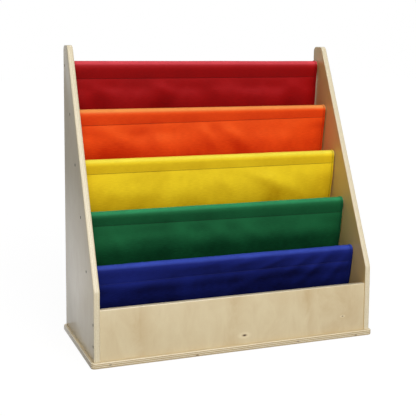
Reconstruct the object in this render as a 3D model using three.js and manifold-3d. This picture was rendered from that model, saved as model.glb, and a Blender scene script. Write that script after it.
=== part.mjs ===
// A floor-standing sling bookshelf: two plywood side panels on a base board, a low front panel,
// and five coloured cloth slings hung on round wooden rods between the sides.
// Millimetres, +Z up, X across the width, front facing -Y, origin under the middle on the floor.
import * as THREE from 'three';
import { mergeVertices } from 'three/addons/utils/BufferGeometryUtils.js';
import Module from 'manifold-3d';

const wasm = await Module();
wasm.setup();

// Base board
const boardThickness = 18;
const baseWidth = 914;
const baseDepth = 389;
const baseCornerRadius = 12;
const baseEasing = 4;
const sideOverhang = 9;
const frontOverhang = 5;
const backOverhang = 5;

// Side panels: an upright foot, a knee, then a front edge that leans back to a narrow top
const panelHeight = 896;
const panelTopDepth = 55;
const kneeHeight = 205.5;
const kneeRadius = 24;
const topCornerRadius = 16;
const panelEasing = 3.2;

// Front panel
const frontPanelHeight = 151;
const frontPanelInset = 3;
const frontPanelEasing = 3;

// Rods: the front rods step evenly from the top one, set from the panel's back and top,
// to the lowest one, set from the panel's front and foot
const rodDiameter = 25;
const rodSides = 20;
const topRodFromBack = 19;
const topRodFromTop = 63;
const lowestRodFromFront = 92;
const lowestRodHeight = 242.6;
const rearRodDrop = 60;
const backrestGap = 6;
const socketDepth = 8;
const fitClearance = 0.3;

// Slings
const clothThickness = 1;
const redSleeveDrop = 38;
const orangeSleeveDrop = 32;
const yellowSleeveDrop = 30;
const greenSleeveDrop = 31;
const blueSleeveDrop = 37;
const pocketDepth = 185;
const pocketSag = 6;
const slingEndGap = 3;
const puckerHeight = 2.4;
const puckerPitch = 310;
const puckerLean = 0.9;
const redPuckerLean = 1.4;
const sleeveArcSteps = 8;
const sheetSteps = 9;
const slingSpans = 12;

// Screws: countersunk, one size for the rods and one for the boards
const rodScrewLength = 50;
const boardScrewLength = 42;
const screwShankDiameter = 4.4;
const screwHeadDiameter = 8;
const screwHeadDepth = 3.2;
const screwTipLength = 6;
const screwRecess = 0.6;
const screwSides = 10;
const frontPanelScrewEdge = 44;
const baseScrewEdge = 62;
const frontBaseScrewEdge = 130;
const sideScrewCount = 3;
const frontScrewCount = 3;

// Cutters run past the faces that they open by this much
const cutOverrun = 2;
const arcSegments = 6;
const easingSteps = 2;

const rodCount = 5;
const rodRadius = rodDiameter / 2;
const screwShankRadius = screwShankDiameter / 2;
const screwHeadRadius = screwHeadDiameter / 2;
const outerHalfWidth = baseWidth / 2 - sideOverhang;
const innerHalfWidth = outerHalfWidth - boardThickness;
const panelFront = frontOverhang - baseDepth / 2;
const panelBack = baseDepth / 2 - backOverhang;
const panelDepth = panelBack - panelFront;
const panelTop = boardThickness + panelHeight;

const birch = new THREE.MeshStandardMaterial({ color: 0xd9c9a0, roughness: 0.55, metalness: 0 });
const rodWood = new THREE.MeshStandardMaterial({ color: 0xdcc79b, roughness: 0.6, metalness: 0 });
const blackSteel = new THREE.MeshStandardMaterial({ color: 0x2b2a28, roughness: 0.45, metalness: 0.8 });

function cloth(color) {
  return new THREE.MeshStandardMaterial({ color, roughness: 0.85, metalness: 0 });
}

// Solids for cutting
function toSolid(geometry) {
  const bare = geometry.clone();
  bare.deleteAttribute('normal');
  bare.deleteAttribute('uv');
  const merged = mergeVertices(bare);
  const corners = merged.index.array;
  const kept = [];
  for (let i = 0; i < corners.length; i += 3) {
    const [a, b, c] = corners.slice(i, i + 3);
    if (a !== b && b !== c && c !== a) kept.push(a, b, c);
  }
  return new wasm.Manifold(new wasm.Mesh({
    numProp: 3,
    vertProperties: merged.attributes.position.array,
    triVerts: Uint32Array.from(kept),
  }));
}

function fromSolid(solid) {
  const { vertProperties, triVerts } = solid.getMesh();
  const geometry = new THREE.BufferGeometry();
  geometry.setAttribute('position', new THREE.BufferAttribute(vertProperties, 3));
  geometry.setIndex(new THREE.BufferAttribute(triVerts, 1));
  geometry.computeVertexNormals();
  return geometry;
}

function cut(geometry, cutters) {
  let solid = toSolid(geometry);
  for (const cutter of cutters) solid = solid.subtract(toSolid(cutter));
  return fromSolid(solid);
}

// Turns a section drawn in depth and height, and extruded, so that it runs across the width
const acrossWidth = new THREE.Matrix4().makeBasis(
  new THREE.Vector3(0, 1, 0), new THREE.Vector3(0, 0, 1), new THREE.Vector3(1, 0, 0));

// A closed outline with an arc at each corner that has a radius
function roundedShape(corners) {
  const shape = new THREE.Shape();
  corners.forEach(({ at, radius }, i) => {
    const before = corners[(i + corners.length - 1) % corners.length].at;
    const after = corners[(i + 1) % corners.length].at;
    const back = before.clone().sub(at).normalize();
    const on = after.clone().sub(at).normalize();
    const halfAngle = Math.acos(back.dot(on)) / 2;
    const start = at.clone().addScaledVector(back, radius / Math.tan(halfAngle));
    if (i === 0) shape.moveTo(start.x, start.y);
    else shape.lineTo(start.x, start.y);
    if (radius === 0) return;
    const inward = back.clone().add(on).normalize();
    const centre = at.clone().addScaledVector(inward, radius / Math.sin(halfAngle));
    const end = at.clone().addScaledVector(on, radius / Math.tan(halfAngle));
    const from = Math.atan2(start.y - centre.y, start.x - centre.x);
    const to = Math.atan2(end.y - centre.y, end.x - centre.x);
    shape.absarc(centre.x, centre.y, radius, from, to, back.cross(on) > 0);
  });
  shape.closePath();
  return shape;
}

// A board with this outline and eased edges on both faces, standing on the plane of the outline
function easedBoard(shape, thickness, easing) {
  const geometry = new THREE.ExtrudeGeometry(shape, {
    depth: thickness - easing - easing,
    curveSegments: arcSegments,
    bevelThickness: easing,
    bevelSize: easing,
    bevelOffset: -easing,
    bevelSegments: easingSteps,
  });
  return geometry.translate(0, 0, easing);
}

// Screws lie along +Z with the head's top at the origin and the tip below
function screw(length, clearance, headOverrun) {
  const shank = screwShankRadius + clearance;
  const head = screwHeadRadius + clearance;
  const profile = [
    new THREE.Vector2(0, -length - clearance),
    new THREE.Vector2(shank, screwTipLength - length - clearance),
    new THREE.Vector2(shank, -screwHeadDepth - clearance),
    new THREE.Vector2(head, -clearance),
    new THREE.Vector2(head, headOverrun),
    new THREE.Vector2(0, headOverrun),
  ].filter((point, i, all) => i === 0 || !point.equals(all[i - 1]));
  return new THREE.LatheGeometry(profile, screwSides).rotateX(Math.PI / 2);
}

function screwSolid(length) {
  return screw(length, 0, 0);
}

function screwCutter(length) {
  return screw(length, fitClearance, screwRecess + cutOverrun);
}

// Where each rod's axis crosses the side panels, as depth and height, from the top down
const topRod = new THREE.Vector2(panelBack - topRodFromBack, panelTop - topRodFromTop);
const lowestRod = new THREE.Vector2(panelFront + lowestRodFromFront, boardThickness + lowestRodHeight);
const frontRods = [];
for (let i = 0; i < rodCount; i += 1) {
  frontRods.push(topRod.clone().lerp(lowestRod, i / (rodCount - 1)));
}
const sleeveRadius = rodRadius + fitClearance + clothThickness;
const sleeveDrops = [redSleeveDrop, orangeSleeveDrop, yellowSleeveDrop, greenSleeveDrop, blueSleeveDrop];
const down = new THREE.Vector2(0, -1);
const up = new THREE.Vector2(0, 1);

function pocketCurve(front, rear, sleeveDrop, sag) {
  const from = front.clone().addScaledVector(down, sleeveDrop);
  const to = rear.clone().addScaledVector(down, sleeveDrop);
  const lowest = front.y - pocketDepth - sag;
  const control = (8 * lowest - from.y - to.y) / 6;
  return new THREE.CubicBezierCurve(
    from, new THREE.Vector2(from.x, control), new THREE.Vector2(to.x, control), to);
}

// Each pocket's rear rod stands just in front of the cloth of the sling above it.
// The top sling has the same cut, and hangs straight down to its own lower rod.
const rearRods = frontRods.slice(1).map((front, i) => new THREE.Vector2(
  frontRods[i].x - sleeveRadius - backrestGap, front.y - rearRodDrop));
const pocketCut = pocketCurve(frontRods[1], rearRods[0], orangeSleeveDrop, 0).getLength();
rearRods.unshift(new THREE.Vector2(
  frontRods[0].x, frontRods[0].y - redSleeveDrop - pocketCut - redSleeveDrop));

// Places along a board for equally spaced screws that stay this far from its ends
function spread(length, edge, count) {
  const places = [];
  for (let i = 0; i < count; i += 1) places.push(edge - length / 2 + i * (length - edge - edge) / (count - 1));
  return places;
}

const frontPanelMiddle = panelFront + frontPanelInset + boardThickness / 2;
const frontPanelScrewHeights = [
  boardThickness + frontPanelScrewEdge, boardThickness + frontPanelHeight - frontPanelScrewEdge];
const sideScrewDepths = spread(panelDepth, baseScrewEdge, sideScrewCount)
  .map((place) => place + (panelFront + panelBack) / 2);
const frontScrewPlaces = spread(innerHalfWidth * 2, frontBaseScrewEdge, frontScrewCount);

// Turned so that the head shows on the outer face of one side, or on the underside
function intoSide(geometry, side, depth, height) {
  geometry.rotateY(side * Math.PI / 2);
  return geometry.translate(side * (outerHalfWidth - screwRecess), depth, height);
}

function intoUnderside(geometry, x, depth) {
  geometry.rotateX(Math.PI);
  return geometry.translate(x, depth, screwRecess);
}

function rodScrews(side, make) {
  return frontRods.map((rod) => intoSide(make(rodScrewLength), side, rod.x, rod.y));
}

function frontPanelScrews(side, make) {
  return frontPanelScrewHeights.map(
    (height) => intoSide(make(boardScrewLength), side, frontPanelMiddle, height));
}

function sideBaseScrews(side, make) {
  const middle = outerHalfWidth - boardThickness / 2;
  return sideScrewDepths.map((depth) => intoUnderside(make(boardScrewLength), side * middle, depth));
}

function frontBaseScrews(make) {
  return frontScrewPlaces.map((x) => intoUnderside(make(boardScrewLength), x, frontPanelMiddle));
}

function rodCylinder(radius, length, x, place) {
  const geometry = new THREE.CylinderGeometry(radius, radius, length, rodSides);
  geometry.rotateZ(Math.PI / 2);
  return geometry.translate(x, place.x, place.y);
}

function baseBoard() {
  const right = baseWidth / 2;
  const back = baseDepth / 2;
  const corners = [[-right, -back], [right, -back], [right, back], [-right, back]]
    .map(([x, y]) => ({ at: new THREE.Vector2(x, y), radius: baseCornerRadius }));
  const board = easedBoard(roundedShape(corners), boardThickness, baseEasing);
  return cut(board, [
    ...sideBaseScrews(-1, screwCutter), ...sideBaseScrews(1, screwCutter), ...frontBaseScrews(screwCutter)]);
}

function sidePanel(side) {
  const foot = boardThickness - panelEasing - cutOverrun;
  const knee = boardThickness + kneeHeight;
  const outline = roundedShape([
    { at: new THREE.Vector2(panelFront, foot), radius: 0 },
    { at: new THREE.Vector2(panelBack, foot), radius: 0 },
    { at: new THREE.Vector2(panelBack, panelTop), radius: topCornerRadius },
    { at: new THREE.Vector2(panelBack - panelTopDepth, panelTop), radius: topCornerRadius },
    { at: new THREE.Vector2(panelFront, knee), radius: kneeRadius },
  ]);
  const inner = side > 0 ? innerHalfWidth : -outerHalfWidth;
  const board = easedBoard(outline, boardThickness, panelEasing).applyMatrix4(acrossWidth);
  board.translate(inner, 0, 0);
  const belowFoot = new THREE.BoxGeometry(baseWidth, baseDepth, boardThickness)
    .translate(0, 0, boardThickness / 2);
  const socketBottom = side * (innerHalfWidth + socketDepth);
  const socketLength = socketDepth + cutOverrun;
  const sockets = rearRods.map((rod) => rodCylinder(
    rodRadius + fitClearance, socketLength, socketBottom - side * socketLength / 2, rod));
  return cut(board, [
    belowFoot, ...sockets, ...rodScrews(side, screwCutter), ...frontPanelScrews(side, screwCutter),
    ...sideBaseScrews(side, screwCutter)]);
}

function frontPanel() {
  const front = panelFront + frontPanelInset;
  const back = front + boardThickness;
  const top = boardThickness + frontPanelHeight;
  const outline = roundedShape([
    { at: new THREE.Vector2(front, boardThickness), radius: 0 },
    { at: new THREE.Vector2(back, boardThickness), radius: 0 },
    { at: new THREE.Vector2(back, top), radius: frontPanelEasing },
    { at: new THREE.Vector2(front, top), radius: frontPanelEasing },
  ]);
  const board = new THREE.ExtrudeGeometry(outline, {
    depth: innerHalfWidth * 2, curveSegments: arcSegments / 2, bevelEnabled: false });
  board.applyMatrix4(acrossWidth).translate(-innerHalfWidth, 0, 0);
  return cut(board, [
    ...frontPanelScrews(-1, screwCutter), ...frontPanelScrews(1, screwCutter), ...frontBaseScrews(screwCutter)]);
}

// Front rods butt against both sides and take a screw in each end
function frontRod(place) {
  const rod = rodCylinder(rodRadius, innerHalfWidth * 2, 0, place);
  return cut(rod, [-1, 1].map((side) => intoSide(screwCutter(rodScrewLength), side, place.x, place.y)));
}

// Rear rods sit in blind sockets in both sides
function rearRod(place) {
  const length = (innerHalfWidth + socketDepth - fitClearance) * 2;
  return rodCylinder(rodRadius, length, 0, place);
}

// The side of a drop-shaped loop round a rod that faces away from the tip, as points that run
// from one side of the tip to the other. The flats of the loop keep the radius, not its corners.
function loopPoints(centre, toTip, sleeveDrop, radius, tipHalf) {
  const across = new THREE.Vector2(-toTip.y, toTip.x);
  const reach = Math.hypot(sleeveDrop, tipHalf);
  const tangent = Math.atan2(sleeveDrop, tipHalf) - Math.acos(radius / reach);
  const step = (Math.PI + tangent + tangent) / sleeveArcSteps;
  const corner = radius / Math.cos(step / 2);
  const points = [];
  for (let i = 0; i <= sleeveArcSteps; i += 1) {
    const angle = Math.PI + tangent - i * step;
    points.push(centre.clone()
      .addScaledVector(across, corner * Math.cos(angle))
      .addScaledVector(toTip, -corner * Math.sin(angle)));
  }
  return points;
}

// One cross-section of a sling: a sleeve at each end of the sheet, as one outline and two holes
function slingSection(front, rear, rearToTip, sleeveDrop, curve, pucker) {
  const half = clothThickness / 2;
  const left = [];
  const right = [];
  for (let i = 0; i <= sheetSteps; i += 1) {
    const share = i / sheetSteps;
    const tangent = curve.getTangent(share);
    const normal = new THREE.Vector2(-tangent.y, tangent.x);
    const middle = curve.getPoint(share).addScaledVector(normal, pucker(share));
    left.push(middle.clone().addScaledVector(normal, half));
    right.push(middle.clone().addScaledVector(normal, -half));
  }
  const inner = rodRadius + fitClearance;
  const tip = (centre, toTip) => centre.clone().addScaledVector(toTip, sleeveDrop - clothThickness);
  return {
    outline: [
      ...loopPoints(front, down, sleeveDrop, sleeveRadius, clothThickness), ...left,
      ...loopPoints(rear, rearToTip, sleeveDrop, sleeveRadius, clothThickness), ...right.reverse()],
    holes: [
      [...loopPoints(front, down, sleeveDrop, inner, 0), tip(front, down)],
      [...loopPoints(rear, rearToTip, sleeveDrop, inner, 0), tip(rear, rearToTip)]],
  };
}

function wound(loop, clockwise) {
  return THREE.ShapeUtils.isClockWise(loop) === clockwise ? loop : [...loop].reverse();
}

// Joins sections of equal layout, set across the width, into one closed body
function loft(sections) {
  const rings = sections.map(({ x, outline, holes }) => ({
    x, loops: [wound(outline, false), ...holes.map((hole) => wound(hole, true))] }));
  const positions = [];
  for (const { x, loops } of rings) {
    for (const point of loops.flat()) positions.push(x, point.x, point.y);
  }
  const ringSize = rings[0].loops.flat().length;
  const faces = [];
  for (let ring = 0; ring + 1 < rings.length; ring += 1) {
    let first = ring * ringSize;
    for (const loop of rings[0].loops) {
      loop.forEach((_, i) => {
        const [a, b] = [first + i, first + (i + 1) % loop.length];
        const [c, d] = [a + ringSize, b + ringSize];
        faces.push(a, b, c, b, d, c);
      });
      first += loop.length;
    }
  }
  for (const [end, facing] of [[0, -1], [rings.length - 1, 1]]) {
    const { loops } = rings[end];
    const points = loops.flat();
    const first = end * ringSize;
    for (const [a, b, c] of THREE.ShapeUtils.triangulateShape(loops[0], loops.slice(1))) {
      const area = THREE.ShapeUtils.area([points[a], points[b], points[c]]);
      if (area * facing > 0) faces.push(first + a, first + b, first + c);
      else faces.push(first + a, first + c, first + b);
    }
  }
  const geometry = new THREE.BufferGeometry();
  geometry.setAttribute('position', new THREE.Float32BufferAttribute(positions, 3));
  geometry.setIndex(faces);
  geometry.computeVertexNormals();
  return geometry;
}

function slingSections(makeSection) {
  const half = innerHalfWidth - slingEndGap;
  const sections = [];
  for (let i = 0; i <= slingSpans; i += 1) {
    const x = half * (2 * i / slingSpans - 1);
    sections.push({ x, ...makeSection(x, x / half) });
  }
  return sections;
}

// Soft slanting puckers that die away at both seams
function puckerAt(x, lean, phase) {
  return (share) => puckerHeight * Math.sin(Math.PI * share) ** 2
    * Math.sin(2 * Math.PI * (x / puckerPitch + lean * share) + phase);
}

function pocketSling(index) {
  const [front, rear, sleeveDrop] = [frontRods[index], rearRods[index], sleeveDrops[index]];
  return loft(slingSections((x, share) => slingSection(
    front, rear, down, sleeveDrop, pocketCurve(front, rear, sleeveDrop, pocketSag * (1 - share * share)),
    puckerAt(x, puckerLean, index))));
}

function straightSling(index) {
  const [front, rear, sleeveDrop] = [frontRods[index], rearRods[index], sleeveDrops[index]];
  const from = front.clone().addScaledVector(down, sleeveDrop);
  const to = rear.clone().addScaledVector(up, sleeveDrop);
  return loft(slingSections((x) => slingSection(
    front, rear, up, sleeveDrop, new THREE.LineCurve(from, to), puckerAt(x, redPuckerLean, index))));
}

const group = new THREE.Group();

function add(name, geometry, material) {
  const mesh = new THREE.Mesh(geometry, material);
  mesh.name = name;
  group.add(mesh);
}

function addEach(name, geometries, material) {
  geometries.forEach((geometry, i) => add(`${name}_${i + 1}`, geometry, material));
}

add('base_board', baseBoard(), birch);
add('side_panel_left', sidePanel(-1), birch);
add('side_panel_right', sidePanel(1), birch);
add('front_panel', frontPanel(), birch);
addEach('front_rod', frontRods.map(frontRod), rodWood);
addEach('rear_rod', rearRods.map(rearRod), rodWood);
add('sling_red', straightSling(0), cloth(0x9a1418));
add('sling_orange', pocketSling(1), cloth(0xe24c18));
add('sling_yellow', pocketSling(2), cloth(0xd9b820));
add('sling_green', pocketSling(3), cloth(0x185230));
add('sling_blue', pocketSling(4), cloth(0x121a55));
for (const [side, word] of [[-1, 'left'], [1, 'right']]) {
  addEach(`rod_screw_${word}`, rodScrews(side, screwSolid), blackSteel);
  addEach(`front_panel_screw_${word}`, frontPanelScrews(side, screwSolid), blackSteel);
  addEach(`base_screw_${word}`, sideBaseScrews(side, screwSolid), blackSteel);
}
addEach('base_screw_front', frontBaseScrews(screwSolid), blackSteel);

export default group;
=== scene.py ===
import math
import random
import bmesh
import bpy
from mathutils import Matrix, Vector, noise


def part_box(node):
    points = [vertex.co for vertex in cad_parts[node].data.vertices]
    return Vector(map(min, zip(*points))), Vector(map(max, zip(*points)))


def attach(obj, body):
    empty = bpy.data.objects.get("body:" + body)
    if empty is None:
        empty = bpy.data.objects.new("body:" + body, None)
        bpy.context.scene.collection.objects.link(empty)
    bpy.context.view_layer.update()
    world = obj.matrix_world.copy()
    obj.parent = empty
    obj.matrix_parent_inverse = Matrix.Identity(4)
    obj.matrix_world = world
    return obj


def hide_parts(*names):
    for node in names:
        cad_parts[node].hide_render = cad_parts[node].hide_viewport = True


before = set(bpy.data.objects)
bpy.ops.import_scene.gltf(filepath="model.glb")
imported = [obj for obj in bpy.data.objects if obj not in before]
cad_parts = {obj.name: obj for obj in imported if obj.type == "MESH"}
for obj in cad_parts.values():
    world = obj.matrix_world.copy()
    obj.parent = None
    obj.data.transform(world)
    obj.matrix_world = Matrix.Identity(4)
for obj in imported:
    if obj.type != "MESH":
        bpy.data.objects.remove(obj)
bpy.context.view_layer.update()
bpy.ops.object.select_all(action="DESELECT")
scene = bpy.context.scene

# Camera: stands in front of the shelf and to its left, as high as its top, and looks down a little.
# Its place, lens and shift were fitted to the edges of the boards in the photograph.
CAMERA_PLACE = Vector((-1.0087, -2.5294, 0.9113))
CAMERA_YAW = 0.3647
CAMERA_PITCH = 0.1112
CAMERA_ROLL = 0.0067
CAMERA_LENS = 75.47
CAMERA_SHIFT = (0.0064, -0.1534)
CAMERA_REACH = 100

camera_data = bpy.data.cameras.new("camera")
camera_data.lens = CAMERA_LENS
camera_data.shift_x, camera_data.shift_y = CAMERA_SHIFT
camera_data.clip_end = CAMERA_REACH
camera = bpy.data.objects.new("camera", camera_data)
scene.collection.objects.link(camera)
ahead = Vector((math.sin(CAMERA_YAW) * math.cos(CAMERA_PITCH),
                math.cos(CAMERA_YAW) * math.cos(CAMERA_PITCH), -math.sin(CAMERA_PITCH)))
level_right = Vector((math.cos(CAMERA_YAW), -math.sin(CAMERA_YAW), 0))
level_up = level_right.cross(ahead)
right = level_right * math.cos(CAMERA_ROLL) + level_up * math.sin(CAMERA_ROLL)
up = level_up * math.cos(CAMERA_ROLL) - level_right * math.sin(CAMERA_ROLL)
turn = Matrix((right, up, -ahead)).transposed().to_4x4()
camera.matrix_world = Matrix.Translation(CAMERA_PLACE) @ turn
scene.camera = camera

# Base board: birch plywood, corners rounded and edges eased, with the layers showing on its edges
# and a clear satin lacquer over all of it. The sides and the front panel stand on it, and screws
# come up through it from below.
BOARD = 0.018
BASE_WIDTH, BASE_DEPTH = 0.914, 0.389
BASE_CORNER_RADIUS, BASE_CORNER_STEPS = 0.012, 8
BASE_EASING = 0.004
EASING_STEPS, FINE_EASING_STEPS = 5, 2
SHARP_FROM, SMOOTH_UP_TO = math.radians(50), math.radians(32)
NEAR = 1e-4

PANEL_FRONT, PANEL_BACK = -0.1895, 0.1895
OUTER_FACE, INNER_FACE = 0.448, 0.430
SIDE_MIDDLE = (OUTER_FACE + INNER_FACE) / 2
FRONT_PANEL_FACE = PANEL_FRONT + 0.003
FRONT_PANEL_MIDDLE = FRONT_PANEL_FACE + BOARD / 2

HOLE_SIDES = 32
DRILL_OVERRUN = 0.002
SCREW_POCKET_RADIUS = 0.0051
SCREW_POCKET_DEPTH = 0.0042
UNDER_SIDE_SCREWS = (-0.1275, 0.0, 0.1275)
UNDER_FRONT_SCREWS = (-0.300, 0.0, 0.300)

PLY_LAYERS = 7
PLY_FACE = (224, 207, 168)
PLY_FACE_WARM = (206, 181, 137)
# Warm colour of the painted bounce light from the slings on the inner faces of the sides
PLY_PAINTED_BOUNCE = (226, 190, 118)
PLY_EDGE_LIGHT = (242, 231, 200)
PLY_EDGE_DARK = (186, 161, 116)
PLY_GLUE = (128, 100, 66)
# Painted shade inside the small gaps of the core
PLY_VOID = (92, 68, 46)

# Figure of the wood: waves per metre, strength, and where a noise starts to show and is strongest
BLOTCH_STRETCH, BLOTCH_STRENGTH = (9.0, 15.0, 20.0), 0.50
BLOTCH_FROM, BLOTCH_FULL = 0.36, 0.70
STREAK_STRETCH, STREAK_STRENGTH = (9.0, 120.0, 60.0), 0.08
FLECK_STRETCH, FLECK_STRENGTH = (140.0, 1500.0, 90.0), 0.14
FLECK_FROM, FLECK_FULL = 0.55, 0.75
PORE_STRETCH, PORE_STRENGTH = (260.0, 260.0, 900.0), 0.5
PORE_FROM, PORE_FULL = 0.4, 0.75
GLUE_FROM, GLUE_FULL = 0.34, 0.48
LAYER_WOBBLE, LAYER_WOBBLE_SCALE = 0.2, 18.0
STAIN_WANDER = 0.012
FACE_FROM, FACE_FULL = 0.80, 0.95
PLY_ROUGHNESS = (0.34, 0.42)
LACQUER, LACQUER_ROUGHNESS = 0.55, 0.18

# Rings of a knot from the outside in: inner and outer edge in knot sizes, strength and colour
KNOT_RINGS = ((2.0, 4.5, 0.7, (238, 222, 186)), (0.9, 2.0, 0.6, (172, 136, 84)),
              (0.6, 1.2, 1.0, (70, 46, 28)))
KNOT_SHARE_ACROSS = 0.45

# Gaps in the core that show on the base's edge, not cut but painted in the dark colour of their
# shade: place along it and above its underside
BASE_VOIDS = ((-0.1375, 0.0056), (0.1946, 0.0094), (-0.402, 0.0094), (0.398, 0.0056))
VOID_SHARE_ALONG = 0.3
VOID_INNER, VOID_OUTER = 0.0010, 0.0019


def pick(piece):
    """Makes a piece the one that the next step works on."""
    bpy.ops.object.select_all(action="DESELECT")
    piece.select_set(True)
    bpy.context.view_layer.objects.active = piece


def edit(piece, *steps):
    """Opens a piece in edit mode, runs each step, and closes it again."""
    pick(piece)
    bpy.ops.object.mode_set(mode="EDIT")
    for step in steps:
        step()
    bpy.ops.object.mode_set(mode="OBJECT")


def pick_all():
    bpy.ops.mesh.select_all(action="SELECT")


def pick_edges(piece, wanted):
    """Selects, in edit mode, the edges whose two ends answer to a question."""
    bpy.ops.mesh.select_mode(type="EDGE")
    bpy.ops.mesh.select_all(action="DESELECT")
    shape = bmesh.from_edit_mesh(piece.data)
    for edge in shape.edges:
        edge.select = wanted(edge.verts[0].co, edge.verts[1].co)
    shape.select_flush_mode()
    bmesh.update_edit_mesh(piece.data)


def apply_modifier(piece, kind, **settings):
    modifier = piece.modifiers.new("step", kind)
    for name, value in settings.items():
        setattr(modifier, name, value)
    pick(piece)
    bpy.ops.object.modifier_apply(modifier=modifier.name)


def sawn_board(name, low, high):
    """A board cut to size, as a block between two corners."""
    low, high = Vector(low), Vector(high)
    bpy.ops.mesh.primitive_cube_add(size=1, location=(low + high) / 2, scale=high - low)
    bpy.ops.object.transform_apply()
    piece = bpy.context.active_object
    piece.name = piece.data.name = name
    return piece


def ease_edges(piece, radius, steps):
    """Runs a round-over along every sharp edge of a piece."""
    apply_modifier(piece, "BEVEL", width=radius, segments=steps, limit_method="ANGLE",
                   angle_limit=SHARP_FROM, use_clamp_overlap=False)


def bore(piece, holes):
    """Drills round holes: each from one point to another, with a radius."""
    drills = []
    for start, end, radius in holes:
        start, end = Vector(start), Vector(end)
        along = end - start
        bpy.ops.mesh.primitive_cylinder_add(vertices=HOLE_SIDES, radius=radius,
                                            depth=along.length, location=(start + end) / 2,
                                            rotation=along.to_track_quat("Z", "Y").to_euler())
        drills.append(bpy.context.active_object)
    bpy.ops.object.select_all(action="DESELECT")
    for drill in drills:
        drill.select_set(True)
    bpy.context.view_layer.objects.active = drills[0]
    bpy.ops.object.join()
    apply_modifier(piece, "BOOLEAN", operation="DIFFERENCE", solver="EXACT", object=drills[0])
    bpy.data.objects.remove(drills[0])


def screw_pocket(x, y, z, inward):
    """The hole that a countersunk screw head sits in, from the board's face inwards."""
    face, inward = Vector((x, y, z)), Vector(inward)
    return face - inward * DRILL_OVERRUN, face + inward * SCREW_POCKET_DEPTH, SCREW_POCKET_RADIUS


def finish_piece(piece, material, slot, *nodes):
    """Smooths a piece, gives it its material, hangs it under the frame's root, and hides the
    model's parts that it takes the place of.
    """
    piece.data.materials.clear()
    piece.data.materials.append(material)
    pick(piece)
    bpy.ops.object.shade_smooth_by_angle(angle=SMOOTH_UP_TO)
    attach(piece, "root")
    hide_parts(*nodes)


def linear(rgb):
    """A colour from 0 to 255 as it shows on a screen, as the shader's own numbers."""
    return tuple(((c / 255 + 0.055) / 1.055) ** 2.4 for c in rgb) + (1.0,)


def shade(tree, kind, inputs, **settings):
    """Adds a shader node, its sockets set or linked, and returns its outputs."""
    made = tree.nodes.new("ShaderNode" + kind)
    for name, value in settings.items():
        setattr(made, name, value)
    for socket, value in inputs.items():
        if isinstance(value, bpy.types.NodeSocket):
            tree.links.new(value, made.inputs[socket])
        else:
            made.inputs[socket].default_value = value
    return made.outputs


def reckon(tree, a, b, operation="ADD"):
    return shade(tree, "Math", {0: a, 1: b}, operation=operation)[0]


def magnitude(tree, value):
    return reckon(tree, value, 0.0, "ABSOLUTE")


def blend_colours(tree, factor, a, b):
    return shade(tree, "Mix", {0: factor, 6: a, 7: b}, data_type="RGBA")[2]


def ramp(tree, value, low, high, to_low=0.0, to_high=1.0):
    return shade(tree, "MapRange", {0: value, 1: low, 2: high, 3: to_low, 4: to_high})[0]


def swing(tree, value, to_low=0.0, to_high=1.0):
    """Spreads the middle of a noise, where most of it lies, over a range."""
    return ramp(tree, value, 0.3, 0.7, to_low, to_high)


def stretched(tree, place, scale):
    return shade(tree, "VectorMath", {0: place, 1: scale}, operation="MULTIPLY")[0]


def noise_field(tree, place, stretch, detail, roughness=0.5, distortion=0.0):
    """Soft noise over a place, with its own number of waves per metre along each axis."""
    return shade(tree, "TexNoise", {"Vector": stretched(tree, place, stretch), "Scale": 1.0,
                                    "Detail": detail, "Roughness": roughness,
                                    "Distortion": distortion})[0]


def apart(tree, x, y):
    """The distance that two offsets, square to each other, make together."""
    offset = shade(tree, "CombineXYZ", {0: x, 1: y, 2: 0.0})[0]
    return shade(tree, "VectorMath", {0: offset}, operation="LENGTH")["Value"]


def new_surface(name):
    """A material with a plain Principled surface."""
    material = bpy.data.materials.new(name)
    material.use_nodes = True
    return material, material.node_tree, material.node_tree.nodes["Principled BSDF"]


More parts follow.
